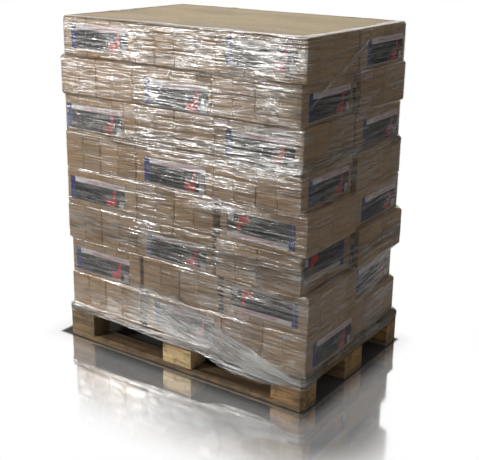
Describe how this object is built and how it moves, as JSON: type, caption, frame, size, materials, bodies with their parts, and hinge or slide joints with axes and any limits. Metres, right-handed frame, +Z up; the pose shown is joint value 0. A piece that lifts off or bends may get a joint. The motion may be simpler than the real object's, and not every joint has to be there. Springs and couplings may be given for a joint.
{
  "type": "wrapped pallet load",
  "caption": "Tall stack of small bundled fuel briquettes laid in parquet courses on a flat wooden pallet, under a cardboard sheet and held by clear stretch film.",
  "frame": {"origin": "on the floor, under the middle of the pallet's footprint", "axes": "+Z up, +X along the pallet's length, +Y across the pallet from its front long side to its back"},
  "size_m": [1.2026, 0.8026, 1.389],
  "materials": {
    "pallet_wood": "rough sawn, weathered",
    "nail_steel": "dull, slightly rusty",
    "briquette_wood": "pressed sawdust, matte",
    "bag_film": "clear shrunk film, glossy",
    "label_paper": "printed, satin",
    "sheet_card": "plain kraft, matte",
    "stretch_film": "clear stretched film, glossy"
  },
  "bodies": {
    "root": {"block_back_left": "pallet_wood", "block_back_middle": "pallet_wood", "block_back_right": "pallet_wood", "block_centre_left": "pallet_wood", "block_centre_middle": "pallet_wood", "block_centre_right": "pallet_wood", "block_front_left": "pallet_wood", "block_front_middle": "pallet_wood", "block_front_right": "pallet_wood", "clinch_nails": "nail_steel", "course_1_briquettes": "briquette_wood", "course_1_bundle_bags": "bag_film", "course_1_labels": "label_paper", "course_2_briquettes": "briquette_wood", "course_2_bundle_bags": "bag_film", "course_2_labels": "label_paper", "course_3_briquettes": "briquette_wood", "course_3_bundle_bags": "bag_film", "course_3_labels": "label_paper", "course_4_briquettes": "briquette_wood", "course_4_bundle_bags": "bag_film", "course_4_labels": "label_paper", "course_5_briquettes": "briquette_wood", "course_5_bundle_bags": "bag_film", "course_5_labels": "label_paper", "course_6_briquettes": "briquette_wood", "course_6_bundle_bags": "bag_film", "course_6_labels": "label_paper", "course_7_briquettes": "briquette_wood", "course_7_bundle_bags": "bag_film", "course_7_labels": "label_paper", "course_8_briquettes": "briquette_wood", "course_8_bundle_bags": "bag_film", "course_8_labels": "label_paper", "cross_board_left": "pallet_wood", "cross_board_middle": "pallet_wood", "cross_board_right": "pallet_wood", "deck_board_back": "pallet_wood", "deck_board_back_inner": "pallet_wood", "deck_board_centre": "pallet_wood", "deck_board_front": "pallet_wood", "deck_board_front_inner": "pallet_wood", "deck_nails": "nail_steel", "skid_board_back": "pallet_wood", "skid_board_centre": "pallet_wood", "skid_board_front": "pallet_wood", "skid_nails": "nail_steel", "stretch_film": "stretch_film", "top_sheet": "sheet_card"}
  },
  "joints": []
}
